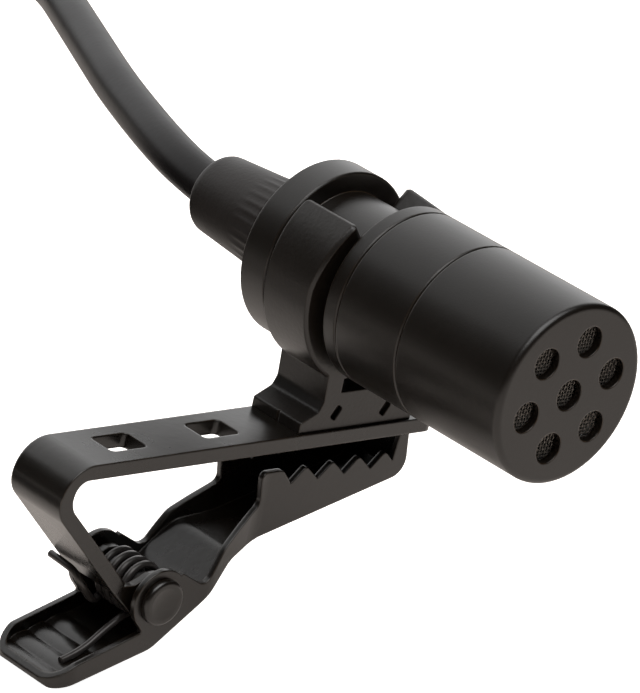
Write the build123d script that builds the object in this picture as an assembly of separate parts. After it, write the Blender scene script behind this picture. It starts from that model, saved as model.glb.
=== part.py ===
from build123d import *
from math import cos, pi, radians, sin, tan
import os

# Tie-clip lavalier microphone: a turned capsule housing held by a C-ring on a sprung clip.
# Millimetres. +X runs along the clip towards the mouth of the jaws, +Y backwards from the
# grille to the cable, +Z up. The parts are drawn about the microphone's axis, with depths
# counted backwards from the grille's face, and placed on the frame by AXIS_X, FACE_Y, AXIS_Z.

# ---- placing -------------------------------------------------------------------------
AXIS_X, FACE_Y, AXIS_Z = 7.46, -14.59, 21.41     # the microphone's axis over the resting plane
PLACE = Pos(AXIS_X, FACE_Y, AXIS_Z)

# ---- microphone housing (depths behind the grille's face) ------------------------------
BODY_R = 5.25
CAP_END, BARREL_END = 8.12, 13.0               # the two seams
SHOULDER_END, FLANGE_START, FLANGE_END = 14.12, 18.92, 21.2
NECK_R, FLANGE_R = 4.15, 5.27
WALL, FACE_THICK, SEAM = 0.45, 0.5, 0.03
SEAM_EDGE, FIT = 0.08, 0.02                    # broken edge at a seam; gap between fitted parts
FACE_EDGE = 0.34                               # rounding between the grille's face and side
SPIGOT = 1.5                                   # overlap of each screwed or glued joint
HOLE_R, HOLE_PITCH_R, HOLE_TURN = 0.9, 3.1, 18.1
CABLE_R, STRIPPED_AT = 1.32, 17.6              # the jacket ends inside the housing
BOOT_R, BOOT_TIP_R, BOOT_END, BOOT_COLLAR_R = 2.95, 2.38, 29.18, 1.95
BOOT_ROUND = 0.63
REAR_WALL = 0.75

# ---- capsule and what holds it ---------------------------------------------------------
CAPSULE_R, CAPSULE_START, CAPSULE_LONG = 3.0, 1.95, 2.7
CAN_WALL, SCREEN_THICK = 0.15, 0.4
HOLDER_END = 6.2

# ---- clip holder: C-ring, pedestal and foot --------------------------------------------
RING_NEAR, RING_FAR, FOOT_FAR = 14.795, 18.5, 18.77
RING_R, RING_BORE_R = 5.78, 4.2
GAP_LEFT, GAP_RIGHT, GAP_SKEW = 41.0, 40.0, 13.0   # the opening each side of the top, degrees,
#                                                 and how much wider its right side is in front
LIP_FROM, LIP_TO, LIP_REACH = 0.5, 4.3, 0.545  # the free ends lean forward between two heights
LEG_X, WINDOW_X, WINDOW_LOW = 2.9, 1.65, -6.04
FOOT_X, FOOT_THICK = 4.25, 0.62
THROUGH = (10.0, 24.0)                         # depths clear of the clip on both sides

# ---- clip strip ------------------------------------------------------------------------
CLIP_MID = 16.68                               # middle plane of the clip
PLATE_TOP, STRIP_THICK, STRIP_HALF = -8.28, 0.86, 2.09
PLATE_FRONT, BEND_LEFT = 6.2, -21.15
SLOT_LONG, SLOT_WIDE, SLOT_CORNER = 2.6, 1.95, 0.35
SLOT_Y = 16.8
SLOTS = (-15.7, -8.95, 0.0)                    # the last one takes the holder's stud
PIN_X, PIN_Z = -13.07, -16.78
PIN_R, PIN_CLEAR, HEAD_R, HEAD_TALL = 0.9, 0.03, 1.35, 0.42
DISH_R, DISH_DEEP = 3.6, 0.13                  # the hollow in each of the pin's heads
EAR_R, EAR_THICK = 1.25, 0.5

# ---- toothed jaw and lever -------------------------------------------------------------
JAW_HALF_REAR, JAW_HALF_FRONT, JAW_THICK = 2.85, 1.85, 0.36
TIP_X, TOOTH_PITCH, TIP_CORNER = -19.7, 2.0, 1.5
JAW_EAR_R, LEVER_ANGLE = 1.82, 15.1
HEEL_X, HEEL_Z = -13.06, -19.68                # where the lever's underside leaves the jaw's
RIDGES, RIDGE_PITCH, RIDGE_R, RIDGE_PROUD = 4, 1.22, 1.8, 0.1
HOLLOW_FRONT = 4.15                            # inner face of the jaw's front wall

# ---- torsion spring --------------------------------------------------------------------
WIRE_R, SPRING_R, SPRING_TURNS, SPRING_PITCH = 0.23, 1.35, 4.5, 0.52

# ---- cable on the resting plane (frame coordinates) ------------------------------------
LEAD = [(7.46, 14.59, 21.41), (8.15, 17.9, 21.4), (9.85, 22.3, 21.3), (12.05, 26.9, 21.05),
        (14.55, 31.9, 20.8), (17.85, 37.7, 20.45), (21.65, 44.3, 20.0), (26.1, 51.7, 19.3),
        (28.4, 59.9, 17.9), (26.6, 67.7, 16.0), (20.9, 72.8, 13.9), (13.2, 74.3, 12.1),
        (5.5, 73.2, 11.0), (-1.8, 71.7, 10.1), (-8.75, 69.45, 9.76)]
TAIL = [(-21.35, 55.2, 1.72), (-22.2, 50.3, 1.75), (-24.1, 45.7, 2.0), (-25.8, 41.0, 2.7),
        (-26.4, 36.2, 3.3), (-26.5, 31.5, 3.5)]
COIL_X, COIL_Y = -4.0, 52.5
COIL_MEAN_R, TURN_STEP, LAYER_STEP, COIL_SIDE = 13.5, 2.72, 2.68, 4
TIE_THICK, TIE_WIDE, TIE_ANGLE = 0.4, 5.0, 215.0
PLUG_R, PLUG_X, PLUG_RELIEF_Y = 3.5, -26.5, 31.5
RELIEF_LONG, BARREL_LONG, SLEEVE_LONG = 7.0, 17.5, 8.0
SHANK_R = 1.75


# ---- helpers ---------------------------------------------------------------------------
def turned(profile):
    """A solid of revolution about the microphone's axis, from (radius, depth) points."""
    wire = Polyline(*[(radius, depth) for radius, depth in profile], close=True)
    return revolve(make_face(wire), axis=Axis.Y)


def rim(radius, start, end, edge):
    """The outside of a turned part, with its two edges broken when edge isn't nothing."""
    if not edge:
        return [(radius, start), (radius, end)]
    return [(radius - edge, start), (radius, start + edge), (radius, end - edge),
            (radius - edge, end)]


def ring(outer, inner, start, end, edge=0.0):
    return turned([(inner, start), *rim(outer, start, end, edge), (inner, end)])


def disc(outer, start, end, edge=0.0):
    return turned([(0, start), *rim(outer, start, end, edge), (0, end)])


def rod(x, z, radius, start, end):
    """A round bar parallel to the microphone's axis."""
    return Pos(x, (start + end) / 2, z) * Rot(90, 0, 0) * Cylinder(radius, end - start)


def across(face, start, end):
    """Carry a side outline, drawn in X and Z, through the clip from depth start to end."""
    return Pos(0, start, 0) * extrude(Plane.XZ * face, amount=-(end - start))


def outline(corners):
    """A closed outline from (x, y, corner radius) points."""
    points = [(x, y) for x, y, _ in corners]
    return make_face(FilletPolyline(*points, radius=[r for _, _, r in corners], close=True))


def route_tube(points, radius):
    """A tube along straight runs joined by tangent arcs as large as the runs allow."""
    path = [Vector(*point) for point in points]
    bends = []
    for before, here, after in zip(path, path[1:], path[2:]):
        turn = radians((here - before).get_angle(after - here))
        run = min((here - before).length, (after - here).length)
        bends.append(0.45 * run / tan(turn / 2))
    line = FilletPolyline(*points, radius=bends)
    section = Plane(origin=path[0], z_dir=path[1] - path[0]) * Circle(radius)
    tube = sweep(section, path=line)
    true_volume = pi * radius ** 2 * line.length
    print("cable radii", [round(bend, 1) for bend in bends], "length", round(line.length, 1),
          "volume ratio", round(tube.volume / true_volume, 4))
    return tube


# ---- microphone ------------------------------------------------------------------------
def front_cap():
    rounding = [(BODY_R - FACE_EDGE * (1 - sin(radians(turn))), FACE_EDGE * (1 - cos(radians(turn))))
                for turn in range(0, 91, 15)]
    shell = turned([(0, 0), *rounding,
                    (BODY_R, CAP_END - SEAM_EDGE), (BODY_R - SEAM_EDGE, CAP_END),
                    (BODY_R - WALL, CAP_END),
                    (BODY_R - WALL, FACE_THICK), (0, FACE_THICK)])
    holes = [rod(0, 0, HOLE_R, -1, FACE_THICK + 0.1)]
    for step in range(6):
        angle = radians(HOLE_TURN + 60 * step)
        place = (HOLE_PITCH_R * cos(angle), HOLE_PITCH_R * sin(angle))
        holes.append(rod(*place, HOLE_R, -1, FACE_THICK + 0.1))
    return shell - holes


def mid_barrel():
    spigot = BODY_R - WALL - FIT
    start, bore = CAP_END + SEAM, BODY_R - 2 * WALL - 0.1
    return turned([(bore, start - SPIGOT), (spigot, start - SPIGOT), (spigot, start),
                   (BODY_R - SEAM_EDGE, start), (BODY_R, start + SEAM_EDGE),
                   (BODY_R, BARREL_END - SEAM_EDGE), (BODY_R - SEAM_EDGE, BARREL_END),
                   (bore, BARREL_END)])


def rear_housing():
    bore, spigot = NECK_R - 0.7, BODY_R - 2 * WALL - 0.12
    start = BARREL_END + SEAM
    return turned([(bore, start - SPIGOT), (spigot, start - SPIGOT), (spigot, start),
                   (BODY_R - SEAM_EDGE, start), (BODY_R, start + SEAM_EDGE),
                   (BODY_R, SHOULDER_END - 0.15),
                   (BODY_R - 0.15, SHOULDER_END), (NECK_R, SHOULDER_END), (NECK_R, FLANGE_START),
                   (FLANGE_R - 0.1, FLANGE_START), (FLANGE_R, FLANGE_START + 0.1),
                   (FLANGE_R, FLANGE_END - 0.3), (FLANGE_R - 0.3, FLANGE_END),
                   (BOOT_COLLAR_R + FIT, FLANGE_END),
                   (BOOT_COLLAR_R + FIT, FLANGE_END - REAR_WALL),
                   (bore, FLANGE_END - REAR_WALL)])


def strain_boot():
    wall_in, wall_out = FLANGE_END - REAR_WALL - FIT, FLANGE_END + 0.01
    bore = CABLE_R + 0.01
    rounding = [(BOOT_TIP_R - BOOT_ROUND * (1 - cos(radians(turn))),
                 BOOT_END - BOOT_ROUND * (1 - sin(radians(turn)))) for turn in range(0, 91, 15)]
    return turned([(bore, wall_in - 0.5), (BOOT_COLLAR_R + 0.5, wall_in - 0.5),
                   (BOOT_COLLAR_R + 0.5, wall_in), (BOOT_COLLAR_R, wall_in),
                   (BOOT_COLLAR_R, wall_out), (BOOT_R, wall_out), *rounding, (bore, BOOT_END)])


def cable_entry():
    """The cable's own end inside the boot, up to where the jacket is stripped."""
    return disc(CABLE_R, STRIPPED_AT, BOOT_END)


def cable_crimp():
    start = STRIPPED_AT + 0.4
    return ring(CABLE_R + 0.45, CABLE_R + 0.01, start, start + 1.6, 0.1)


def dust_screen():
    return disc(BODY_R - WALL - 0.05, FACE_THICK + FIT, FACE_THICK + FIT + SCREEN_THICK)


def screen_ring():
    start = FACE_THICK + SCREEN_THICK + 2 * FIT
    full = ring(BODY_R - WALL - 0.03, 4.15, start, start + 0.4)
    return full - Pos(0, start, 4.5) * Box(0.8, 2, 1.5)


def rubber_holder():
    lip = CAPSULE_START - 0.35
    outer, hole = BODY_R - WALL - 0.04, CAPSULE_R - 0.55
    return turned([(hole, lip), (outer - 0.3, lip), (outer - 0.3, CAPSULE_START + 4.2),
                   (1.5, CAPSULE_START + 4.2), (1.5, CAPSULE_START + 3.3),
                   (hole, CAPSULE_START + 3.0), (hole, CAPSULE_START + CAPSULE_LONG + 0.02),
                   (CAPSULE_R + 0.02, CAPSULE_START + CAPSULE_LONG + 0.02),
                   (CAPSULE_R + 0.02, CAPSULE_START - 0.01), (hole, CAPSULE_START - 0.01)])


def capsule_can():
    start, end, inner = CAPSULE_START, CAPSULE_START + CAPSULE_LONG, CAPSULE_R - CAN_WALL
    return turned([(0.75, start), (CAPSULE_R - 0.15, start), (CAPSULE_R, start + 0.15),
                   (CAPSULE_R, end), (inner - 0.3, end), (inner - 0.3, end - CAN_WALL),
                   (inner, end - CAN_WALL), (inner, start + CAN_WALL), (0.75, start + CAN_WALL)])


def capsule_felt():
    return disc(2.3, CAPSULE_START - 0.2, CAPSULE_START - 0.02)


def diaphragm():
    """The clamped film and its ring, one bonded piece."""
    start = CAPSULE_START + CAN_WALL + 0.02
    return turned([(0, start + 0.2), (2.3, start + 0.2), (2.3, start), (2.78, start),
                   (2.78, start + 0.25), (0, start + 0.25)])


def spacer_ring():
    start = CAPSULE_START + CAN_WALL + 0.29
    return ring(2.78, 2.45, start, start + 0.1)


def backplate():
    start = CAPSULE_START + CAN_WALL + 0.41
    plate = disc(2.4, start, start + 0.3)
    return plate - [rod(1.2 * cos(pi / 2 * step), 1.2 * sin(pi / 2 * step), 0.3, start - 1, start + 1)
                    for step in range(4)]


def backplate_cup():
    start = CAPSULE_START + CAN_WALL + 0.41
    return turned([(2.42, start), (2.78, start), (2.78, start + 1.4), (2.1, start + 1.4),
                   (2.1, start + 0.32), (2.42, start + 0.32)])


def capsule_board():
    start = CAPSULE_START + CAPSULE_LONG - CAN_WALL - 0.42
    return disc(2.78, start, start + 0.4)


def amplifier_chip():
    start = CAPSULE_START + CAPSULE_LONG - CAN_WALL - 0.44
    return Pos(0, start - 0.3, 0) * Box(1.4, 0.6, 1.0)


def core_wire(side):
    """One insulated core, from the capsule's board to the cable's end."""
    board = CAPSULE_START + CAPSULE_LONG + 0.02
    points = [(side * 0.9, board, 0), (side * 0.9, board + 3.5, 0), (side * 1.6, 10.5, 0.6 * side),
              (side * 1.5, 13.5, -0.4 * side), (side * 0.45, 15.8, 0), (side * 0.45, STRIPPED_AT - FIT, 0)]
    line = FilletPolyline(*points, radius=[1.0] * 4)
    return sweep(Plane(origin=points[0], z_dir=(0, 1, 0)) * Circle(0.28), path=line)


# ---- clip ------------------------------------------------------------------------------
def c_ring():
    """The band that snaps on the neck: open at the top, its free ends leaning forward."""
    start, reach = RING_NEAR - 2 * LIP_REACH, 2 * RING_R
    slope = LIP_REACH / (LIP_TO - LIP_FROM)
    band = ring(RING_R, RING_BORE_R, start, RING_FAR)
    front = make_face(Polyline((start, -reach), (RING_NEAR, -reach), (RING_NEAR, LIP_FROM),
                               (RING_NEAR - slope * (reach - LIP_FROM), reach), (start, reach),
                               close=True))
    band = band - extrude(Plane.YZ * front, amount=reach, both=True)
    band = band - loft([gap_wedge(start, GAP_RIGHT + GAP_SKEW), gap_wedge(RING_FAR, GAP_RIGHT)],
                       ruled=True)
    corners = [edge for edge in band.edges().filter_by(GeomType.LINE)
               if abs(edge.tangent_at(0.5).Y) < 0.5]
    band = fillet(corners, 0.35)
    rims = [edge for edge in band.edges() if edge.length > 3 and on_radius(edge, RING_R)]
    return chamfer(rims, 0.16)


def gap_wedge(depth, right):
    """The C-ring's opening at one depth, as a wedge from the axis."""
    sides = [(2 * RING_R * sin(radians(turn)), 2 * RING_R * cos(radians(turn)))
             for turn in (right, -GAP_LEFT)]
    return Pos(0, depth, 0) * (Plane.XZ * make_face(Polyline((0, 0), *sides, close=True)))


def on_radius(edge, radius):
    """Does an edge lie on the cylinder of this radius about the microphone's axis?"""
    places = [edge.position_at(share / 4) for share in range(5)]
    return all(abs((place.X ** 2 + place.Z ** 2) ** 0.5 - radius) < 0.01 for place in places)


def clip_holder():
    """C-ring, pedestal, foot and snap stud: one moulding."""
    foot_top = PLATE_TOP + FOOT_THICK
    side = [(LEG_X, -4.6, 0), (LEG_X - 0.12, -6.5, 0.5), (LEG_X + 0.15, -7.1, 0.4),
            (FOOT_X, foot_top, 0.12), (FOOT_X, PLATE_TOP, 0)]
    mirrored = [(-x, z, r) for x, z, r in reversed(side)]
    pedestal = across(outline(side + mirrored), RING_NEAR, FOOT_FAR)
    pedestal = pedestal - across(Circle(RING_BORE_R + 0.3), RING_NEAR, FOOT_FAR)
    window = Pos(0, CLIP_MID, WINDOW_LOW + 0.42) * Box(2 * WINDOW_X, 10, 0.84)
    body = c_ring() + pedestal - window
    for x, z in ((-1.68, -7.25), (2.1, -7.4)):
        dimple = Pos(x, RING_NEAR, z) * Rot(0, 32, 0) * Box(0.5, 0.7, 0.85)
        body = body - fillet(dimple.edges().filter_by(Axis.Y), 0.12)
    middle = (RING_NEAR + RING_FAR) / 2
    for side_x in (-1, 1):
        body = body - Pos(side_x * FOOT_X, middle, PLATE_TOP + 0.3) * Box(0.16, 0.16, 2.0)
    shaft = Pos(0, SLOT_Y, PLATE_TOP - 0.45) * Box(2.3, 1.6, 0.94)
    snap = Pos(0, SLOT_Y, PLATE_TOP - STRIP_THICK - 0.27) * Box(3.0, 1.6, 0.46)
    return body + shaft + fillet(snap.edges().filter_by(Axis.Y), 0.15)


def strip_side():
    """The strip's run from its front, round the bend and down the leg, as one ribbon."""
    low = PLATE_TOP - STRIP_THICK
    leg = 45.0
    drop = STRIP_THICK / sin(radians(leg))
    foot_x, foot_z = -15.75, -16.47
    outer_sum = foot_x + foot_z
    bend_z = outer_sum - BEND_LEFT
    corners = [(PLATE_FRONT, PLATE_TOP, 0.2), (BEND_LEFT + 0.35, PLATE_TOP, 2.1),
               (BEND_LEFT - 0.15, bend_z + 0.15, 1.65), (foot_x, foot_z, 0.2),
               (foot_x + drop / 2, foot_z + drop / 2, 0.2),
               (BEND_LEFT + 0.69, bend_z + drop - 0.69, 1.25),
               (BEND_LEFT + 1.12, low, 0.9), (PLATE_FRONT, low, 0.2)]
    return outline(corners)


def ear_side():
    """One ear, folded along the leg's edge and reaching round the pin."""
    corners = [(-16.25, -16.0, 0), (-15.75, -15.95, 0.25), (-14.5, -16.05, 0.5),
               (PIN_X - 0.35, PIN_Z + EAR_R, 0.5), (PIN_X + EAR_R, PIN_Z + EAR_R, 1.1),
               (PIN_X + EAR_R, PIN_Z - EAR_R, 1.1), (-14.15, -17.9, 0.4)]
    return outline(corners)


def clip_strip():
    near, far = CLIP_MID - STRIP_HALF, CLIP_MID + STRIP_HALF
    strip = across(strip_side(), near, far)
    plan = Pos(PLATE_FRONT - 20, CLIP_MID, -25) * RectangleRounded(40, 2 * STRIP_HALF, 0.7)
    strip = strip & extrude(plan, amount=25)
    for x in SLOTS:
        slot = Pos(x, SLOT_Y, PLATE_TOP - 0.4) * Box(SLOT_LONG, SLOT_WIDE, 3)
        strip = strip - fillet(slot.edges().filter_by(Axis.Z), SLOT_CORNER)
    ears = [across(ear_side(), near + FIT, near + FIT + EAR_THICK),
            across(ear_side(), far - FIT - EAR_THICK, far - FIT)]
    strip = strip + ears[0] + ears[1]
    return strip - rod(PIN_X, PIN_Z, PIN_R + 0.02, *THROUGH)


def hinge_pin():
    near, far = CLIP_MID - JAW_HALF_REAR - 0.03, CLIP_MID + JAW_HALF_REAR + 0.03
    pin = rod(PIN_X, PIN_Z, PIN_R, near - 0.05, far + 0.05)
    for face, away in ((near, -1), (far, 1)):
        head = rod(PIN_X, PIN_Z, HEAD_R, min(face, face + away * HEAD_TALL),
                   max(face, face + away * HEAD_TALL))
        rim = head.edges().sort_by(Axis.Y)[0 if away < 0 else -1]
        face_y = face + away * HEAD_TALL
        dish = Pos(PIN_X, face_y + away * (DISH_R - DISH_DEEP), PIN_Z) * Sphere(DISH_R)
        pin = pin + fillet(rim, 0.22) - dish
    return pin


def jaw_side():
    """Side outline of the jaw: toothed front, neck, ear round the pin and lever."""
    tip_z = HEEL_Z - (HEEL_X - TIP_X) * tan(radians(LEVER_ANGLE))
    top = [(4.55, -9.2, 0.2), (3.9, -9.2, 0.1), (3.72, -10.85, 0.05)]
    for step in range(4):
        tip_x, fall = 3.0 - TOOTH_PITCH * step, -10.3 - 0.065 * step
        top += [(tip_x, fall + 0.12, 0.22), (tip_x - 0.95, fall - 0.82, 0.05)]
    top += [(-4.75, -10.42, 0.4), (-6.35, -10.42, 0.35), (-6.0, -12.35, 0.6), (-7.5, -13.4, 0.8),
            (-8.62, -14.25, 1.5), (-9.85, -16.35, 0.6), (-11.75, -15.3, 0)]
    arc = [(PIN_X + JAW_EAR_R * cos(radians(turn)), PIN_Z + JAW_EAR_R * sin(radians(turn)))
           for turn in (48, 140, 228)]
    below = [(-13.9, -18.58, 0.12), (-18.35, -19.95, 0.9), (TIP_X, -21.0, 0.15),
             (TIP_X, tip_z, 0.3), (HEEL_X, HEEL_Z, 1.8), (-9.3, -16.85, 2.5), (-7.95, -15.25, 1.5),
             (-5.6, -14.35, 1.5), (4.92, -11.66, 1.1)]
    front = FilletPolyline(*[(x, z) for x, z, _ in top], arc[0], radius=[r for _, _, r in top[1:]])
    back = FilletPolyline(arc[2], *[(x, z) for x, z, _ in below], (4.55, -9.2),
                          radius=[r for _, _, r in below])
    return make_face(front + ThreePointArc(*arc) + back)


def jaw_plan(inset, reach):
    """Top outline of the jaw: wide round the pin and lever, narrow at the teeth."""
    rear, front = JAW_HALF_REAR - inset, JAW_HALF_FRONT - inset
    half = [(TIP_X + inset, rear, TIP_CORNER - inset), (-9.5, rear, 3.5), (-6.1, front, 3.5),
            (reach, front, 0)]
    mirrored = [(x, -y, r) for x, y, r in reversed(half)]
    return Pos(0, CLIP_MID, 0) * outline(half + mirrored)


def lever_ridges():
    """Low rounded bars across the lever's floor, for the thumb."""
    slope = radians(LEVER_ANGLE)
    bars = []
    for step in range(RIDGES):
        x = -15.05 - RIDGE_PITCH * step
        floor_z = HEEL_Z - (HEEL_X - x) * tan(slope) + JAW_THICK / cos(slope)
        bars.append(rod(x, floor_z - RIDGE_R + RIDGE_PROUD, RIDGE_R, *THROUGH))
    return bars


def jaw():
    solid = across(jaw_side(), *THROUGH) & Pos(0, 0, -30) * extrude(jaw_plan(0, 8.0), amount=30)
    far_z = HEEL_Z - (HEEL_X + 30) * tan(radians(LEVER_ANGLE)) + JAW_THICK
    floor = outline([(-30, far_z, 0), (HEEL_X + 0.1, HEEL_Z + JAW_THICK + 0.03, 2.5),
                     (-9.35 - 0.45, -16.75 + 0.42, 2.0), (-8.0 - 0.25, -15.2 + 0.5, 1.0),
                     (-5.6, -14.35 + JAW_THICK, 1.0), (9, -10.62 + JAW_THICK, 0), (9, 0, 0),
                     (-30, 0, 0)])
    inside = Pos(0, 0, -30) * extrude(jaw_plan(JAW_THICK, HOLLOW_FRONT), amount=30)
    hollow = across(floor, *THROUGH) & inside
    solid = solid - (hollow - lever_ridges())
    return solid - rod(PIN_X, PIN_Z, PIN_R + PIN_CLEAR, *THROUGH)


def torsion_spring():
    """Wire coil round the pin, one leg behind the strip's leg and one on the lever's floor."""
    start = CLIP_MID - SPRING_PITCH * SPRING_TURNS / 2
    axis_point = Pos(PIN_X, start, PIN_Z) * Rot(-90, 0, 0)
    coil_path = axis_point * Helix(SPRING_PITCH, SPRING_PITCH * SPRING_TURNS, SPRING_R)
    section = Plane(origin=coil_path @ 0, z_dir=coil_path % 0) * Circle(WIRE_R)
    return sweep(section, path=coil_path, is_frenet=True)


# ---- cord and plug ---------------------------------------------------------------------
def coil_section(grow):
    width = COIL_SIDE * TURN_STEP + 2 * grow
    tall = COIL_SIDE * LAYER_STEP + 2 * grow
    middle = TIE_THICK + COIL_SIDE * LAYER_STEP / 2
    return Pos(COIL_MEAN_R, middle) * RectangleRounded(width, tall, 1.0 + grow)


def cable_coil():
    """The outer shape of the wound and tied length."""
    return Pos(COIL_X, COIL_Y, 0) * revolve(Plane.XZ * coil_section(0), axis=Axis.Z)


def coil_tie():
    loop = Plane.XZ * (coil_section(TIE_THICK) - coil_section(0.01))
    band = Pos(0, TIE_WIDE / 2, 0) * extrude(loop, amount=TIE_WIDE)
    return Pos(COIL_X, COIL_Y, 0) * Rot(0, 0, TIE_ANGLE) * band


def plug_piece(profile):
    """A turned plug part from (radius, distance from the relief's end) points."""
    piece = revolve(make_face(Polyline(*profile, close=True)), axis=Axis.Y)
    return Pos(PLUG_X, PLUG_RELIEF_Y, PLUG_R) * Rot(180, 0, 0) * piece


def plug_pieces():
    barrel_start, barrel_end = RELIEF_LONG, RELIEF_LONG + BARREL_LONG
    collar = barrel_end + 0.6
    sleeve_end = collar + SLEEVE_LONG
    insulator_r, boss_r, gap, middle_ring = SHANK_R - 0.22, 2.2, 0.7, 1.7
    first_gap = sleeve_end + gap
    ring_end = first_gap + middle_ring
    tip_start = ring_end + gap
    tip_end = tip_start + 2.9
    core = 0.7
    return {
        "plug_relief": [(CABLE_R + 0.02, 0), (1.55, 0), (1.7, 0.2), (2.4, 6.4), (2.4, 9.0),
                        (CABLE_R + 0.02, 9.0)],
        "plug_cable_end": [(0, 0), (CABLE_R, 0), (CABLE_R, 11.0), (0, 11.0)],
        "plug_barrel": [(2.45, barrel_start), (PLUG_R - 0.4, barrel_start),
                        (PLUG_R, barrel_start + 0.4), (PLUG_R, barrel_end - 0.3),
                        (PLUG_R - 0.3, barrel_end), (boss_r + 0.05, barrel_end),
                        (boss_r + 0.05, barrel_end - 1.0),
                        (2.9, barrel_end - 1.0), (2.9, barrel_start + 2.1),
                        (2.45, barrel_start + 2.1)],
        "plug_sleeve": [(core + 0.02, barrel_end - 3.0), (boss_r, barrel_end - 3.0),
                        (boss_r, barrel_end + 0.02), (2.9, barrel_end + 0.02), (2.9, collar),
                        (SHANK_R, collar), (SHANK_R, sleeve_end), (core + 0.02, sleeve_end)],
        "plug_ring": [(core + 0.02, first_gap), (SHANK_R, first_gap), (SHANK_R, ring_end),
                      (core + 0.02, ring_end)],
        "plug_tip": [(0, collar - 6.0), (core, collar - 6.0), (core, tip_start),
                     (SHANK_R - 0.25, tip_start), (SHANK_R, tip_start + 0.4),
                     (SHANK_R - 0.1, tip_start + 0.9), (1.05, tip_start + 1.35),
                     (1.35, tip_start + 1.9), (1.3, tip_start + 2.3), (0.6, tip_end), (0, tip_end)],
        "plug_insulator_rear": [(core + 0.02, sleeve_end), (insulator_r, sleeve_end),
                                (insulator_r, first_gap), (core + 0.02, first_gap)],
        "plug_insulator_front": [(core + 0.02, ring_end), (insulator_r, ring_end),
                                 (insulator_r, tip_start), (core + 0.02, tip_start)],
    }


# ---- writing ---------------------------------------------------------------------------
def main():
    housed = {
        "front_cap": front_cap(), "mid_barrel": mid_barrel(), "rear_housing": rear_housing(),
        "strain_boot": strain_boot(), "cable_entry": cable_entry(), "cable_crimp": cable_crimp(),
        "dust_screen": dust_screen(), "screen_ring": screen_ring(),
        "rubber_holder": rubber_holder(), "capsule_can": capsule_can(),
        "capsule_felt": capsule_felt(), "diaphragm": diaphragm(), "spacer_ring": spacer_ring(),
        "backplate": backplate(), "backplate_cup": backplate_cup(),
        "capsule_board": capsule_board(), "amplifier_chip": amplifier_chip(),
        "signal_wire": core_wire(1), "ground_wire": core_wire(-1),
        "clip_holder": clip_holder(), "clip_strip": clip_strip(), "hinge_pin": hinge_pin(),
        "jaw": jaw(), "torsion_spring": torsion_spring(),
    }
    nodes = {name: PLACE * shape for name, shape in housed.items()}
    nodes["cable_lead"] = route_tube(LEAD, CABLE_R)
    nodes["cable_tail"] = route_tube(TAIL, CABLE_R)
    nodes["cable_coil"] = cable_coil()
    nodes["coil_tie"] = coil_tie()
    for name, profile in plug_pieces().items():
        nodes[name] = plug_piece(profile)
    os.makedirs("parts", exist_ok=True)
    for name, shape in nodes.items():
        export_step(shape, os.path.join("parts", name + ".step"))


main()
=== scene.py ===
from math import atan2, cos, floor, pi, radians, sin

import bmesh
import bpy
from bpy.props import FloatProperty, FloatVectorProperty, IntProperty, PointerProperty
from mathutils import Matrix, Vector


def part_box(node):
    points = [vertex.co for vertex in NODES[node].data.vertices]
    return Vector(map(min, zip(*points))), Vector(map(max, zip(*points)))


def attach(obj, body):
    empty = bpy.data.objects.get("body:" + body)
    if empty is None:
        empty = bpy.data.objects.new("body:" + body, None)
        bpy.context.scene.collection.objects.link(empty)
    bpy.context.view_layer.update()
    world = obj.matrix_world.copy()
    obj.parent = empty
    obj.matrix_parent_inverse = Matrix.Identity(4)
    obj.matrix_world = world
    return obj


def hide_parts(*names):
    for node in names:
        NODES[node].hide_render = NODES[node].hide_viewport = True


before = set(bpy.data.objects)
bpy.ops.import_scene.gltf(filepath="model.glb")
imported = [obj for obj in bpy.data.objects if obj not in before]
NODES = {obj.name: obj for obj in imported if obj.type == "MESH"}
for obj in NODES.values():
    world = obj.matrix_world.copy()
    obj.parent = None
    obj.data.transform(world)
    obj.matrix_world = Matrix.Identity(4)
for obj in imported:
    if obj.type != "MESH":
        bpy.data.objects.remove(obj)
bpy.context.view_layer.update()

bl_info = {
    "name": "Tie-clip lavalier microphone",
    "version": (1, 0, 0),
    "blender": (4, 5, 0),
    "location": "3D View > Sidebar > Microphone",
    "description": "Cable, rubber, wire and finishes of a small clip-on microphone",
    "category": "Add Mesh",
}

MM = 0.001


# ---- places taken from the frame ---------------------------------------------------------
def middle(node):
    """Middle of a CAD node's box."""
    low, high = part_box(node)
    return (low + high) / 2


CAP_LOW, CAP_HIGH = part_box("front_cap")
# The middle of the grille's face
GRILLE = Vector(((CAP_LOW.x + CAP_HIGH.x) / 2, CAP_LOW.y, (CAP_LOW.z + CAP_HIGH.z) / 2))
BOOT_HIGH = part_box("strain_boot")[1]
FLANGE_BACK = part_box("rear_housing")[1].y
PIN = middle("hinge_pin")

# ---- the cable's route, millimetres ------------------------------------------------------
LEAD = [(7.46, 14.59, 21.41), (8.15, 17.9, 21.4), (9.85, 22.3, 21.3), (12.05, 26.9, 21.05),
        (14.55, 31.9, 20.8), (17.85, 37.7, 20.45), (21.65, 44.3, 20.0), (26.1, 51.7, 19.3),
        (28.4, 59.9, 17.9), (26.6, 67.7, 16.0), (20.9, 72.8, 13.9), (13.2, 74.3, 12.1),
        (5.5, 73.2, 11.0), (-1.8, 71.7, 10.1), (-8.75, 69.45, 9.76)]
TAIL = [(-21.35, 55.2, 1.72), (-22.2, 50.3, 1.75), (-24.1, 45.7, 2.0), (-25.8, 41.0, 2.7),
        (-26.4, 36.2, 3.3), (-26.5, 31.5, 3.5)]
COIL_X, COIL_Y = -4.0, 52.5
COIL_INNER_R, TURN_STEP, LAYER_STEP, COIL_SIDE = 9.42, 2.72, 2.68, 4
COIL_TOP = 9.76
COIL_TURNS = 15                                # whole turns, and then on to where the tail leaves
STEP_AT, STEP_SPAN = 0.3, 0.16                 # where each turn moves to its next place, in turns

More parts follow.
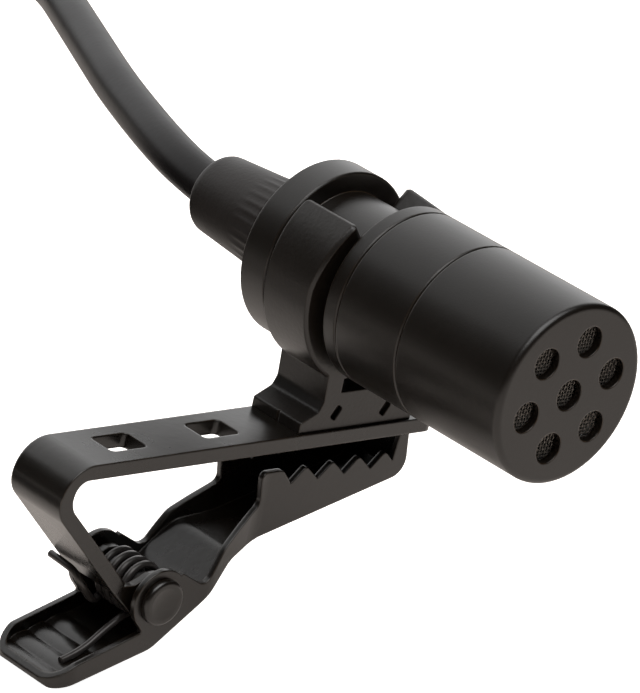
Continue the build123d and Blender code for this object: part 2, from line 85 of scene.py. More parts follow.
# ---- the strain relief, metres -----------------------------------------------------------
BOOT_TIP_R, BOOT_ROUND_R, BOOT_BORE_R = 2.38 * MM, 0.63 * MM, 1.34 * MM
BOOT_STEPS, ROUNDING_STEP = 26, 15             # rings along the taper, and degrees at its tip
BOOT_ROOT_GAP, BORE_LIP, BORE_DEEP = 0.02 * MM, 0.12 * MM, 1.5 * MM
RIBS_START, RIBS_END = 0.25 * MM, 3.9 * MM     # measured from the flange
RIB_RISE, RIB_FADE = 0.3 * MM, 0.9 * MM        # how the ribs grow at one end and die at the other
RIB_VALLEY, RIB_FACES = -0.35, 8               # floor between ribs, and faces across each

# ---- the spring --------------------------------------------------------------------------
SPRING_PITCH = 1.5                             # distance between the spring's turns, in wires
SPRING_START, SPRING_STEPS = 250, 16           # bearing of both ends in degrees, points in a turn
# The leg on the strip: across and up from the pin, and out from the strip's far edge, millimetres
STRIP_LEG = [(-3.65, 0.42, 0.92), (-3.7, -0.6, 0.92), (-3.74, -1.8, 0.88), (-3.5, -2.3, 0.2),
             (-2.0, -1.9, -1.2)]
# The leg on the lever: across and up from the pin, millimetres
LEVER_LEG = [(-0.9, -1.3), (-2.2, -2.15), (-3.7, -3.28), (-5.0, -3.6)]

# ---- the stage, metres -------------------------------------------------------------------
SENSOR, NEAREST = 36, 0.01
FLOOR_HALF, FLOOR_FACES = 1.6, 8
WORLD_LIGHT = 0.03
DARK_SIDE = (-0.73, 0.68, 0)                   # the way the floor's colour darkens as painted shade, where its light falls away
DARK_FROM, DARK_TO, DARK_SHARE = 0.045, 0.10, 0.1


# ---- sizes and colours that a user would change ------------------------------------------
def colour(name, description, default):
    return FloatVectorProperty(name=name, description=description, default=default,
                               subtype="COLOR", size=3, min=0, max=1)


def length(name, description, millimetres):
    return FloatProperty(name=name, description=description, default=millimetres * MM,
                         subtype="DISTANCE", unit="LENGTH", precision=5)


class StageSettings(bpy.types.PropertyGroup):
    azimuth: FloatProperty(
        name="Azimuth", description="Compass direction of the view, from +Y towards +X",
        default=radians(46.4116), subtype="ANGLE")
    elevation: FloatProperty(
        name="Elevation", description="How far the camera looks down",
        default=radians(20.2324), subtype="ANGLE")
    roll: FloatProperty(
        name="Roll", description="Turn of the camera about its own line of sight",
        default=radians(12.5026), subtype="ANGLE")
    distance: length("Distance", "From the camera to the point that it looks at", 306.753)
    focal: FloatProperty(
        name="Focal length", description="Lens of the camera on a 36 mm sensor",
        default=298.706, subtype="DISTANCE_CAMERA")
    aim: FloatVectorProperty(
        name="Aim", description="Point looked at, from the middle of the grille's face",
        default=(-0.009417, 0.009729, -0.000306), subtype="TRANSLATION", size=3, precision=6)
    floor_colour: colour("Floor", "Colour of the pale, slightly warm floor", (0.96, 0.87, 0.80))


class CableSettings(bpy.types.PropertyGroup):
    diameter: length("Diameter", "Outside diameter of the cable's jacket", 2.64)
    turn_points: IntProperty(
        name="Points in a turn", description="Route points in each turn of the coil",
        default=16, min=12)
    jacket: colour("Jacket", "Colour of the cable's jacket", (0.0058, 0.0046, 0.0047))
    tape: colour("Tie", "Colour of the hook-and-loop tie", (0.020, 0.020, 0.022))


class HousingSettings(bpy.types.PropertyGroup):
    paint: colour("Housing", "Satin black of the turned housing", (0.0042, 0.0025, 0.0012))
    rubber: colour("Rubber", "Colour of the strain relief", (0.0115, 0.0088, 0.0076))
    ribs: IntProperty(name="Ribs", description="Grip ribs round the strain relief",
                      default=30, min=3)
    rib_height: length("Rib height", "How far a rib of the strain relief stands out", 0.028)
    thread_pitch: length("Thread pitch", "Spacing of the woven screen's threads", 0.21)
    thread: length("Thread", "Thickness of the woven screen's threads", 0.085)
    screen: colour("Screen", "Colour of the woven screen", (0.17, 0.155, 0.14))


class ClipSettings(bpy.types.PropertyGroup):
    enamel: colour("Enamel", "Black of the pressed clip and jaw", (0.0045, 0.0030, 0.0018))
    nylon: colour("Holder", "Black of the moulded holder", (0.0065, 0.0045, 0.0030))
    wire: length("Spring wire", "Thickness of the torsion spring's wire", 0.44)
    coil_radius: length("Spring radius", "Radius of the spring's middle line", 1.36)
    coil_turns: FloatProperty(name="Spring turns", description="Turns round the pin", default=4.0)
    steel: colour("Spring", "Colour of the blackened wire", (0.040, 0.036, 0.034))


class PlugSettings(bpy.types.PropertyGroup):
    shell: colour("Shell", "Colour of the plug's moulded shell", (0.018, 0.018, 0.018))
    nickel: colour("Contacts", "Colour of the plated contacts", (0.72, 0.70, 0.66))


GROUPS = {"mic_stage": StageSettings, "mic_cable": CableSettings, "mic_housing": HousingSettings,
          "mic_clip": ClipSettings, "mic_plug": PlugSettings}


# ---- shared shading effects --------------------------------------------------------------
def socket(tree, name, kind, default=None, output=False):
    made = tree.interface.new_socket(name=name, in_out="OUTPUT" if output else "INPUT",
                                     socket_type="NodeSocket" + kind)
    if default is not None:
        made.default_value = default
    return made


def effect(name, inputs, outputs):
    """An empty node group with these sockets, and its two end nodes."""
    tree = bpy.data.node_groups.new(name, "ShaderNodeTree")
    socket(tree, "Vector", "Vector")
    for label, default in inputs.items():
        socket(tree, label, "Float", default)
    for label in outputs:
        socket(tree, label, "Float", output=True)
    return tree, tree.nodes.new("NodeGroupInput"), tree.nodes.new("NodeGroupOutput")


def noise(tree, vector, scale, detail):
    node = tree.nodes.new("ShaderNodeTexNoise")
    node.inputs["Detail"].default_value = detail
    tree.links.new(vector, node.inputs["Vector"])
    if isinstance(scale, (int, float)):
        node.inputs["Scale"].default_value = scale
    else:
        tree.links.new(scale, node.inputs["Scale"])
    return node.outputs["Fac"]


def maths(tree, operation, *values):
    node = tree.nodes.new("ShaderNodeMath")
    node.operation = operation
    for value, entry in zip(values, node.inputs):
        if isinstance(value, (int, float)):
            entry.default_value = value
        else:
            tree.links.new(value, entry)
    return node.outputs[0]


def spread(tree, value, low, high, to_low, to_high):
    """Map a value from one range to another, smoothly and held at both ends."""
    node = tree.nodes.new("ShaderNodeMapRange")
    node.interpolation_type = "SMOOTHSTEP"
    for entry, number in zip(node.inputs, (value, low, high, to_low, to_high)):
        if isinstance(number, (int, float)):
            entry.default_value = number
        else:
            tree.links.new(number, entry)
    return node.outputs[0]


def build_grain():
    """Fine moulded or sprayed grain, with a coarser one under it."""
    coarser, coarse_height = 0.23, 0.6
    tree, start, end = effect("fine_grain", {"Scale": 6000.0}, ("Height",))
    fine = noise(tree, start.outputs["Vector"], start.outputs["Scale"], 3.0)
    coarse_scale = maths(tree, "MULTIPLY", start.outputs["Scale"], coarser)
    coarse = noise(tree, start.outputs["Vector"], coarse_scale, 2.0)
    height = maths(tree, "ADD", fine, maths(tree, "MULTIPLY", coarse, coarse_height))
    tree.links.new(height, end.inputs["Height"])
    return tree


def build_handling():
    """Soft cloudy change of gloss where a surface has been handled."""
    tree, start, end = effect("handling", {"Scale": 260.0, "Gloss": 0.4, "Change": 0.08},
                              ("Roughness", "Cloud"))
    cloud = noise(tree, start.outputs["Vector"], start.outputs["Scale"], 4.0)
    swing = maths(tree, "MULTIPLY", maths(tree, "SUBTRACT", cloud, 0.5),
                  start.outputs["Change"])
    tree.links.new(maths(tree, "ADD", start.outputs["Gloss"], swing), end.inputs["Roughness"])
    tree.links.new(cloud, end.inputs["Cloud"])
    return tree


def build_edges():
    """Painted highlight along outer edges, also standing for rubbed wear: it lies where the
    rounded normal leaves the true one.
    """
    full_highlight_at, whole_at = 0.80, 0.985          # how far the two normals agree
    tree, start, end = effect("edge_highlight_and_wear", {"Width": 0.0001, "Break": 900.0}, ("Mask",))
    rounded = tree.nodes.new("ShaderNodeBevel")
    rounded.samples = EDGE_HIGHLIGHT_SAMPLES
    tree.links.new(start.outputs["Width"], rounded.inputs["Radius"])
    true = tree.nodes.new("ShaderNodeNewGeometry")
    dot = tree.nodes.new("ShaderNodeVectorMath")
    dot.operation = "DOT_PRODUCT"
    tree.links.new(rounded.outputs["Normal"], dot.inputs[0])
    tree.links.new(true.outputs["Normal"], dot.inputs[1])
    edge = spread(tree, dot.outputs["Value"], full_highlight_at, whole_at, 1.0, 0.0)
    broken = noise(tree, start.outputs["Vector"], start.outputs["Break"], 3.0)
    patches = spread(tree, broken, 0.35, 0.6, 0.35, 1.0)
    tree.links.new(maths(tree, "MULTIPLY", edge, patches), end.inputs["Mask"])
    return tree


def build_turned():
    """Fine rings left by a lathe along the microphone's and the plug's axis."""
    tree, start, end = effect("turned_rings", {"Scale": 9000.0}, ("Height",))
    stretch = tree.nodes.new("ShaderNodeMapping")
    stretch.inputs["Scale"].default_value = (0.02, 1.0, 0.02)
    tree.links.new(start.outputs["Vector"], stretch.inputs["Vector"])
    tree.links.new(noise(tree, stretch.outputs["Vector"], start.outputs["Scale"], 2.0),
                   end.inputs["Height"])
    return tree


def build_weave():
    """Threads crossing over and under, for tape and felt."""
    tree, start, end = effect("weave", {"Scale": 9000.0}, ("Height",))
    waves = []
    for direction in ("X", "Z"):
        wave = tree.nodes.new("ShaderNodeTexWave")
        wave.bands_direction = direction
        wave.inputs["Distortion"].default_value = 1.4
        wave.inputs["Detail Scale"].default_value = 3.0
        tree.links.new(start.outputs["Vector"], wave.inputs["Vector"])
        tree.links.new(start.outputs["Scale"], wave.inputs["Scale"])
        waves.append(wave.outputs["Fac"])
    tree.links.new(maths(tree, "MAXIMUM", *waves), end.inputs["Height"])
    return tree


BUILDERS = {"fine_grain": build_grain, "handling": build_handling, "edge_highlight_and_wear": build_edges,
            "turned_rings": build_turned, "weave": build_weave}
EFFECTS = {}


def effect_node(tree, name, vector, **values):
    """Place a shared effect in a material, with this material's own values."""
    if name not in EFFECTS:
        EFFECTS[name] = BUILDERS[name]()
    node = tree.nodes.new("ShaderNodeGroup")
    node.node_tree = EFFECTS[name]
    tree.links.new(vector, node.inputs["Vector"])
    for label, value in values.items():
        node.inputs[label].default_value = value
    return node


# ---- materials ---------------------------------------------------------------------------
EDGE_HIGHLIGHT_WIDTH = 0.7                                # band of painted edge highlight, also standing for rubbed wear, as a share of the softened edge
EDGE_HIGHLIGHT_SAMPLES, EDGE_SAMPLES = 6, 8


def mix(tree, mask, low, high):
    """Blend from one colour to another by a mask."""
    node = tree.nodes.new("ShaderNodeMix")
    node.data_type = "RGBA"
    node.inputs["A"].default_value = (*low, 1)
    node.inputs["B"].default_value = (*high, 1)
    tree.links.new(mask, node.inputs["Factor"])
    return node.outputs["Result"]


def lighter(shade, times):
    """A colour made this many times as light."""
    return tuple(min(part * times, 1.0) for part in shade)


def finish(name, shade, gloss, pattern="fine_grain", scale=6000.0, depth=0.01, change=0.08,
           metallic=0.0, shine=0.5, edge=0.0, edge_width=0.1, edge_highlight_times=2.2, tint=1.5):
    """One surface: a shaded base with its own grain, cloudy gloss, softened edges, and edges
    lightened as a painted highlight that also stands for rubbed wear.

    depth is the relief's height and edge_width the softened edge's, in millimetres."""
    material = bpy.data.materials.new(name)
    material.use_nodes = True
    tree = material.node_tree
    shader = tree.nodes["Principled BSDF"]
    shader.inputs["Metallic"].default_value = metallic
    shader.inputs["Specular IOR Level"].default_value = shine
    place = tree.nodes.new("ShaderNodeTexCoord").outputs["Object"]
    grain = effect_node(tree, pattern, place, Scale=scale)
    handled = effect_node(tree, "handling", place, Gloss=gloss, Change=change)
    base = mix(tree, handled.outputs["Cloud"], lighter(shade, 1 / tint), lighter(shade, tint))
    # Painted highlight: the edge mask lightens the colour along edges, also standing for rubbed
    # wear.
    if edge:
        highlight_and_wear = effect_node(tree, "edge_highlight_and_wear", place, Width=edge_width * MM * EDGE_HIGHLIGHT_WIDTH)
        blend = tree.nodes.new("ShaderNodeMix")
        blend.data_type = "RGBA"
        blend.inputs["B"].default_value = (*lighter(shade, edge_highlight_times), 1)
        tree.links.new(maths(tree, "MULTIPLY", highlight_and_wear.outputs["Mask"], edge),
                       blend.inputs["Factor"])
        tree.links.new(base, blend.inputs["A"])
        base = blend.outputs["Result"]
    tree.links.new(base, shader.inputs["Base Color"])
    tree.links.new(handled.outputs["Roughness"], shader.inputs["Roughness"])
    relief = tree.nodes.new("ShaderNodeBump")
    relief.inputs["Strength"].default_value = 1.0
    relief.inputs["Distance"].default_value = depth * MM
    tree.links.new(grain.outputs["Height"], relief.inputs["Height"])
    if edge_width:
        soft = tree.nodes.new("ShaderNodeBevel")
        soft.samples = EDGE_SAMPLES
        soft.inputs["Radius"].default_value = edge_width * MM
        tree.links.new(soft.outputs["Normal"], relief.inputs["Normal"])
    tree.links.new(relief.outputs["Normal"], shader.inputs["Normal"])
    return material


def dress(material, *names):
    """Give CAD nodes a finish through their own material slots."""
    for name in names:
        for entry in NODES[name].material_slots:
            entry.material = material


# ---- making pieces -----------------------------------------------------------------------
def add(name, data, material, body, *replaced, slot=None):
    """Put finished data in the scene on its body, in place of the CAD nodes it stands for."""
    piece = bpy.data.objects.new(name, data)
    bpy.context.scene.collection.objects.link(piece)
    data.materials.clear()
    data.materials.append(material)
    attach(piece, body)
    if replaced:
        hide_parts(*replaced)
    return piece


def curve_through(name, points, radius, resolution=6, sides=6):
    """A round wire or cable along one smooth spline."""
    data = bpy.data.curves.new(name, "CURVE")
    data.dimensions = "3D"
    data.bevel_depth = radius
    data.bevel_resolution = sides
    data.use_fill_caps = True
    spline = data.splines.new("NURBS")
    spline.points.add(len(points) - 1)
    for entry, place in zip(spline.points, points):
        entry.co = (*place, 1)
    spline.order_u = 3
    spline.use_endpoint_u = True
    spline.resolution_u = resolution
    return data


def smooth_mesh(bm, name, sharp=radians(40)):
    """Close a bmesh as a smooth mesh, with its sharp edges kept."""
    bmesh.ops.recalc_face_normals(bm, faces=bm.faces)
    for face in bm.faces:
        face.smooth = True
    for edge in bm.edges:
        edge.smooth = not edge.is_manifold or edge.calc_face_angle(0) < sharp
    mesh = bpy.data.meshes.new(name)
    bm.to_mesh(mesh)
    bm.free()
    return mesh


def lathe(profile, axis_point, steps):
    """Turn (radius, depth) points, in metres, round a line along Y through axis_point."""
    bm = bmesh.new()
    made = [bm.verts.new(axis_point + Vector((radius, depth, 0))) for radius, depth in profile]
    edges = [bm.edges.new(pair) for pair in zip(made, made[1:])]
    bmesh.ops.spin(bm, geom=made + edges, cent=axis_point, axis=(0, 1, 0), angle=2 * pi,
                   steps=steps, use_merge=True)
    bmesh.ops.remove_doubles(bm, verts=bm.verts, dist=1e-7)
    return bm


# ---- cable -------------------------------------------------------------------------------
def coil_place(turns):
    """Radius and height of the cable's middle after so many turns of the coil."""
    passed = turns - STEP_AT + STEP_SPAN / 2
    before = max(floor(passed), -1)
    share = min((passed - before) / STEP_SPAN, 1.0)
    share = share * share * (3 - 2 * share)
    ends = []
    for place in (max(before, 0), before + 1):
        layer, step = divmod(place, COIL_SIDE)
        inward = COIL_SIDE - 1 - step if layer % 2 == 0 else step
        ends.append((COIL_INNER_R + TURN_STEP * inward, COIL_TOP - LAYER_STEP * layer))
    return [low + (high - low) * share for low, high in zip(*ends)]


def cable_route(turn_points):
    """The lead, the coil's turns and the tail, as one list of points in metres."""
    start = atan2(LEAD[-1][1] - COIL_Y, LEAD[-1][0] - COIL_X)
    end = atan2(TAIL[0][1] - COIL_Y, TAIL[0][0] - COIL_X)
    whole = COIL_TURNS + (end - start) / (2 * pi)
    count = round(whole * turn_points)
    wider = 1 / cos(pi / turn_points)          # a spline runs inside the points of a circle
    turns = []
    for step in range(1, count):
        passed = whole * step / count
        radius, height = coil_place(passed)
        angle = start + 2 * pi * passed
        turns.append((COIL_X + radius * wider * cos(angle),
                      COIL_Y + radius * wider * sin(angle), height))
    return [Vector(place) * MM for place in LEAD + turns + TAIL]


class MIC_OT_cable(bpy.types.Operator):
    """Make the whole cable, from the strain relief through its tied coil to the plug"""
    bl_idname = "mic.cable"
    bl_label = "Cable"

    def execute(self, context):
        settings = context.scene.mic_cable
        route = cable_route(settings.turn_points)
        data = curve_through("cable", route, settings.diameter / 2)
        jacket = finish("cable_jacket", settings.jacket, 0.38, scale=2600.0, depth=0.006,
                        change=0.12, shine=0.11, edge_width=0, tint=1.25)
        cable = add("cable", data, jacket, "microphone", "cable_lead", "cable_coil",
                    "cable_tail", slot="cable_black")
        dress(jacket, "cable_entry", "plug_cable_end")
        tape = finish("tie_tape", settings.tape, 0.85, pattern="weave", scale=2600.0, depth=0.08,
                      tint=1.6, edge_width=0.15)
        dress(tape, "coil_tie")
        return {"FINISHED"}


# ---- strain relief -----------------------------------------------------------------------
def boot_profile():
    """Radius and depth along the tapered boot, from the flange to the cable and back inside."""
    start, end = FLANGE_BACK, BOOT_HIGH.y
    root, tip, bore = BOOT_HIGH.x - GRILLE.x, BOOT_TIP_R, BOOT_BORE_R
    taper = end - BOOT_ROUND_R - start
    straight = [(root + (tip - root) * step / BOOT_STEPS, start + taper * step / BOOT_STEPS)
                for step in range(BOOT_STEPS + 1)]
    rounding = [(tip - BOOT_ROUND_R * (1 - cos(radians(turn))),
                 end - BOOT_ROUND_R * (1 - sin(radians(turn))))
                for turn in range(ROUNDING_STEP, 91, ROUNDING_STEP)]
    return [(bore, start + BOOT_ROOT_GAP), *straight, *rounding, (bore + BORE_LIP, end),
            (bore, end - BORE_LIP), (bore, end - BORE_DEEP)]


def boot_mesh(ribs, height):
    """The boot with soft ribs along its front half."""
    centre = Vector((GRILLE.x, 0, GRILLE.z))
    bm = lathe(boot_profile(), centre, ribs * RIB_FACES)
    start, end = FLANGE_BACK + RIBS_START, FLANGE_BACK + RIBS_END
    for vert in bm.verts:
        if not start < vert.co.y < end:
            continue
        out = Vector((vert.co.x - GRILLE.x, 0, vert.co.z - GRILLE.z))
        fade = min((vert.co.y - start) / RIB_RISE, (end - vert.co.y) / RIB_FADE, 1)
        wave = max(cos(ribs * atan2(out.z, out.x)), RIB_VALLEY)
        vert.co += out.normalized() * height * wave * fade
    return smooth_mesh(bm, "boot")


# ---- woven screen ------------------------------------------------------------------------
def screen_mesh(pitch, thickness):
    """Threads woven over and under each other across the housing, as one mesh."""
    low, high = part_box("dust_screen")
    radius = (high.x - low.x) / 2
    depth, swing = low.y + thickness, thickness * 0.8
    count = int(radius / pitch)
    data = bpy.data.curves.new("threads", "CURVE")
    data.dimensions = "3D"
    data.bevel_depth = thickness / 2
    data.bevel_resolution = 0
    for across in (True, False):
        for line in range(-count + 1, count):
            offset = line * pitch
            reach = int(max((radius - pitch) ** 2 - offset ** 2, 0) ** 0.5 / pitch)
            if reach < 1:
                continue
            spline = data.splines.new("NURBS")
            spline.points.add(2 * reach)
            for entry, step in zip(spline.points, range(-reach, reach + 1)):
                over = 1 if (line + step + across) % 2 else -1
                along = step * pitch
                x, z = (along, offset) if across else (offset, along)
                entry.co = (GRILLE.x + x, depth + over * swing, GRILLE.z + z, 1)
            spline.order_u = 3
            spline.use_endpoint_u = True
            spline.resolution_u = 2
    threads = bpy.data.objects.new("threads", data)
    mesh = bpy.data.meshes.new_from_object(threads)
    bpy.data.objects.remove(threads)
    bpy.data.curves.remove(data)
    return mesh


class MIC_OT_housing(bpy.types.Operator):
    """Finish the turned housing, and make its rubber strain relief and woven screen"""
    bl_idname = "mic.housing"
    bl_label = "Housing"

    def execute(self, context):
        settings = context.scene.mic_housing
        # The edge settings paint a strong highlight along edges and seams, also standing for
        # rubbed wear.
        satin = finish("satin_black", settings.paint, 0.34, scale=9000.0, depth=0.004,
                       change=0.07, shine=0.5, edge=1.0, edge_width=0.13, edge_highlight_times=16.0,
                       tint=1.15)
        dress(satin, "front_cap", "mid_barrel", "rear_housing")
        rubber = finish("boot_rubber", settings.rubber, 0.47, scale=5000.0, depth=0.012,
                        change=0.14, shine=0.3, edge_width=0, tint=1.3)
        add("boot", boot_mesh(settings.ribs, settings.rib_height), rubber, "microphone",
            "strain_boot", slot="rubber_black")
        woven = finish("woven_screen", settings.screen, 0.38, scale=9000.0, depth=0.002,
                       metallic=0.5, edge_width=0, tint=1.9)
        add("screen", screen_mesh(settings.thread_pitch, settings.thread), woven, "microphone",
            "dust_screen", slot="mesh_grey")
        return {"FINISHED"}


# ---- clip --------------------------------------------------------------------------------
def spring_points(radius, turns, pitch):
    """Route of the wire's coil round the pin, from the leg on the strip to its last turn."""
    first = PIN.y + turns * pitch / 2
    reach = radius / cos(pi / SPRING_STEPS)    # a spline runs inside the points of a circle
    coil = []
    for step in range(int(turns * SPRING_STEPS) + 1):
        angle = radians(SPRING_START) + 2 * pi * step / SPRING_STEPS
        coil.append(Vector((PIN.x + reach * cos(angle), first - pitch * step / SPRING_STEPS,
                            PIN.z + reach * sin(angle))))
    return coil


class MIC_OT_clip(bpy.types.Operator):
    """Finish the clip and jaw, and wind the torsion spring with its two legs"""
    bl_idname = "mic.clip"
    bl_label = "Clip"

    def execute(self, context):
        settings = context.scene.mic_clip
        # The edge settings paint a highlight along the enamel's edges.
        enamel = finish("black_enamel", settings.enamel, 0.28, scale=2200.0, depth=0.006,
                        change=0.10, shine=0.56, edge=1.0, edge_width=0.16, edge_highlight_times=8.0,
                        tint=1.2)
        dress(enamel, "clip_strip", "jaw", "hinge_pin")
        # The edge settings paint a bright highlight along the holder's edges.
        nylon = finish("holder_nylon", settings.nylon, 0.36, scale=4200.0, depth=0.010,
                       change=0.10, shine=0.48, edge=1.0, edge_width=0.13, edge_highlight_times=7.0,
                       tint=1.2)
        dress(nylon, "clip_holder")
        self.spring(settings)
        return {"FINISHED"}

    def spring(self, settings):
        """The wound wire with its leg on the strip, and the leg that moves with the lever."""
        steel = finish("spring_steel", settings.steel, 0.30, pattern="turned_rings",
                       scale=5000.0, depth=0.004, metallic=0.3, edge_width=0, tint=1.4)
        pitch = settings.wire * SPRING_PITCH
        coil = spring_points(settings.coil_radius, settings.coil_turns, pitch)
        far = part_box("clip_strip")[1].y
        leg = [Vector((PIN.x + x * MM, far + y * MM, PIN.z + z * MM)) for x, y, z in STRIP_LEG]
        wound = curve_through("spring", leg + coil, settings.wire / 2, resolution=5, sides=3)
        add("spring", wound, steel, "clip", "torsion_spring", slot="spring_steel")
        last = coil[-1]
        lever = [Vector((PIN.x + x * MM, last.y, PIN.z + z * MM)) for x, z in LEVER_LEG]
        free = curve_through("spring_lever_leg", [last] + lever, settings.wire / 2,
                             resolution=5, sides=3)
        add("spring_lever_leg", free, steel, "jaw", slot="spring_steel")


# ---- plug --------------------------------------------------------------------------------
class MIC_OT_plug(bpy.types.Operator):
    """Finish the jack plug at the cable's far end"""
    bl_idname = "mic.plug"
    bl_label = "Plug"

    def execute(self, context):
        settings = context.scene.mic_plug
        nickel = finish("plug_nickel", settings.nickel, 0.16, pattern="turned_rings",
                        scale=7000.0, depth=0.003, metallic=1.0, change=0.1, edge_width=0.08,
                        tint=1.06)
        dress(nickel, "plug_sleeve", "plug_ring", "plug_tip")
        # The edge settings paint a faint highlight along the shell's edges.
        shell = finish("plug_shell", settings.shell, 0.38, scale=5000.0, depth=0.008,
                       edge=0.2, edge_width=0.15, tint=1.2)
        dress(shell, "plug_barrel", "plug_relief")
        insulator = finish("plug_insulator", settings.shell, 0.5, scale=8000.0, depth=0.003,
                           edge_width=0, tint=1.3)
        dress(insulator, "plug_insulator_rear", "plug_insulator_front")
        return {"FINISHED"}


# ---- capsule and wiring ------------------------------------------------------------------
INNER = [
    # finish, colour, gloss, pattern, its scale, metallic, the nodes that have it
    ("can_aluminium", (0.72, 0.73, 0.74), 0.30, "turned_rings", 6000.0, 1.0,
     ["capsule_can", "screen_ring"]),
    ("gilt_brass", (0.72, 0.55, 0.26), 0.28, "turned_rings", 6000.0, 1.0,
     ["backplate", "cable_crimp"]),
    ("metal_film", (0.80, 0.72, 0.50), 0.18, "fine_grain", 3000.0, 1.0, ["diaphragm"]),
    ("holder_rubber", (0.028, 0.027, 0.026), 0.62, "fine_grain", 5000.0, 0.0,
     ["rubber_holder"]),
    ("black_felt", (0.030, 0.030, 0.030), 0.95, "weave", 7000.0, 0.0, ["capsule_felt"]),
    ("pale_insulator", (0.78, 0.77, 0.72), 0.45, "fine_grain", 6000.0, 0.0,
     ["spacer_ring", "backplate_cup"]),
    ("board_green", (0.04, 0.20, 0.09), 0.35, "weave", 9000.0, 0.0, ["capsule_board"]),
    ("chip_epoxy", (0.035, 0.035, 0.035), 0.55, "fine_grain", 9000.0, 0.0,
     ["amplifier_chip"]),
    ("red_core", (0.50, 0.03, 0.025), 0.38, "fine_grain", 4000.0, 0.0, ["signal_wire"]),
    ("white_core", (0.78, 0.78, 0.76), 0.38, "fine_grain", 4000.0, 0.0, ["ground_wire"]),
]


class MIC_OT_capsule(bpy.types.Operator):
    """Finish the capsule, its holder and the wires inside the housing"""
    bl_idname = "mic.capsule"
    bl_label = "Capsule and wires"

    def execute(self, context):
        for name, shade, gloss, pattern, scale, metallic, nodes in INNER:
            dress(finish(name, shade, gloss, pattern=pattern, scale=scale, metallic=metallic,
                         edge_width=0.05, tint=1.15), *nodes)
        return {"FINISHED"}


# ---- stage -------------------------------------------------------------------------------
def looking(azimuth, elevation, roll=0.0):
    """A turn that points a camera or a light along this bearing and downwards."""
    return (Matrix.Rotation(-azimuth, 4, "Z") @ Matrix.Rotation(pi / 2 - elevation, 4, "X")
            @ Matrix.Rotation(roll, 4, "Z"))


def aimed(thing, name, target, distance, turn):
    """Place a camera or a light so that it looks at target from this far away."""
    item = bpy.data.objects.new(name, thing)
    bpy.context.scene.collection.objects.link(item)
    back = turn @ Vector((0, 0, distance))
    item.matrix_world = Matrix.Translation(target + back) @ turn
    return item


SOFTBOXES = [
    # name, bearing and height above the horizon, width and height, metres away, radiance
    ("overhead", 226, 74, 0.50, 0.46, 0.50, 4.0),
    ("back_panel", 20, 26, 1.15, 0.62, 0.55, 1.45),
]


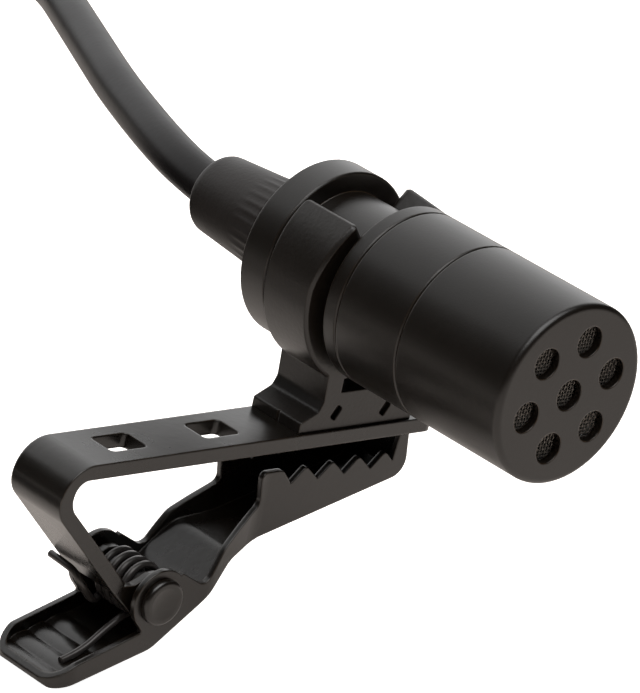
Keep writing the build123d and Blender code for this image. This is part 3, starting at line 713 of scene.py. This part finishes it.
class MIC_OT_stage(bpy.types.Operator):
    """Set the camera, the pale floor and the soft studio light"""
    bl_idname = "mic.stage"
    bl_label = "Camera, floor and light"

    def execute(self, context):
        settings, scene = context.scene.mic_stage, context.scene
        target = GRILLE + Vector(settings.aim)
        view = bpy.data.cameras.new("camera")
        view.sensor_width = SENSOR
        view.lens = settings.focal
        view.clip_start = NEAREST
        turn = looking(settings.azimuth, settings.elevation, settings.roll)
        scene.camera = aimed(view, "camera", target, settings.distance, turn)
        for name, bearing, height, width, tall, away, radiance in SOFTBOXES:
            lamp = bpy.data.lights.new(name, "AREA")
            lamp.shape = "RECTANGLE"
            lamp.size, lamp.size_y, lamp.energy = width, tall, pi * width * tall * radiance
            aimed(lamp, name, target, away, looking(radians(bearing + 180), radians(height)))
        self.surroundings(scene)
        self.floor(settings)
        return {"FINISHED"}

    def surroundings(self, scene):
        """Fill the shadows with a little even light."""
        world = bpy.data.worlds.new("studio")
        scene.world = world
        world.use_nodes = True
        shade = world.node_tree.nodes["Background"]
        shade.inputs["Color"].default_value = (1, 1, 1, 1)
        shade.inputs["Strength"].default_value = WORLD_LIGHT
        scene.view_settings.view_transform = "Standard"

    def glow(self, paper, pale):
        """Let the floor shine evenly towards the viewer, and darken its colour to one side as
        painted shade.
        """
        tree = paper.node_tree
        seen = tree.nodes.new("ShaderNodeLightPath").outputs["Is Camera Ray"]
        shader = tree.nodes["Principled BSDF"]
        shader.inputs["Emission Color"].default_value = (1, 1, 1, 1)
        tree.links.new(seen, shader.inputs["Emission Strength"])
        # Painted shade: the floor's colour darkens towards one side, standing in for light falling
        # off there.
        place = tree.nodes.new("ShaderNodeTexCoord").outputs["Object"]
        along = tree.nodes.new("ShaderNodeVectorMath")
        along.operation = "DOT_PRODUCT"
        along.inputs[1].default_value = DARK_SIDE
        tree.links.new(place, along.inputs[0])
        edge = spread(tree, along.outputs["Value"], DARK_FROM, DARK_TO, 1.0, 0.0)
        tree.links.new(mix(tree, edge, lighter(pale, DARK_SHARE), pale),
                       shader.inputs["Base Color"])

    def floor(self, settings):
        """The pale sheet that everything lies on."""
        bm = bmesh.new()
        bmesh.ops.create_grid(bm, x_segments=FLOOR_FACES, y_segments=FLOOR_FACES,
                              size=FLOOR_HALF)
        mesh = smooth_mesh(bm, "floor")
        paper = finish("floor_paper", settings.floor_colour, 0.8, scale=900.0, depth=0.002,
                       change=0.05, edge_width=0, tint=1.01)
        self.glow(paper, settings.floor_colour)
        ground = bpy.data.objects.new("floor", mesh)
        mesh.materials.append(paper)
        bpy.context.scene.collection.objects.link(ground)


OPERATORS = [MIC_OT_stage, MIC_OT_cable, MIC_OT_housing, MIC_OT_clip, MIC_OT_plug,
             MIC_OT_capsule]


class MIC_PT_panel(bpy.types.Panel):
    """The microphone's pieces and their settings"""
    bl_label = "Lavalier microphone"
    bl_idname = "MIC_PT_panel"
    bl_space_type = "VIEW_3D"
    bl_region_type = "UI"
    bl_category = "Microphone"

    def draw(self, context):
        for operator in OPERATORS:
            self.layout.operator(operator.bl_idname)
        for key, group in GROUPS.items():
            box = self.layout.box()
            for name in group.__annotations__:
                box.prop(getattr(context.scene, key), name)


def register():
    for part in [*GROUPS.values(), *OPERATORS, MIC_PT_panel]:
        bpy.utils.register_class(part)
    for key, group in GROUPS.items():
        setattr(bpy.types.Scene, key, PointerProperty(type=group))


def unregister():
    for key in GROUPS:
        delattr(bpy.types.Scene, key)
    for part in [MIC_PT_panel, *reversed(OPERATORS), *reversed(GROUPS.values())]:
        bpy.utils.unregister_class(part)


def main():
    register()
    bpy.ops.mic.stage()
    bpy.ops.mic.cable()
    bpy.ops.mic.housing()
    bpy.ops.mic.clip()
    bpy.ops.mic.plug()
    bpy.ops.mic.capsule()


if __name__ == "__main__":
    main()
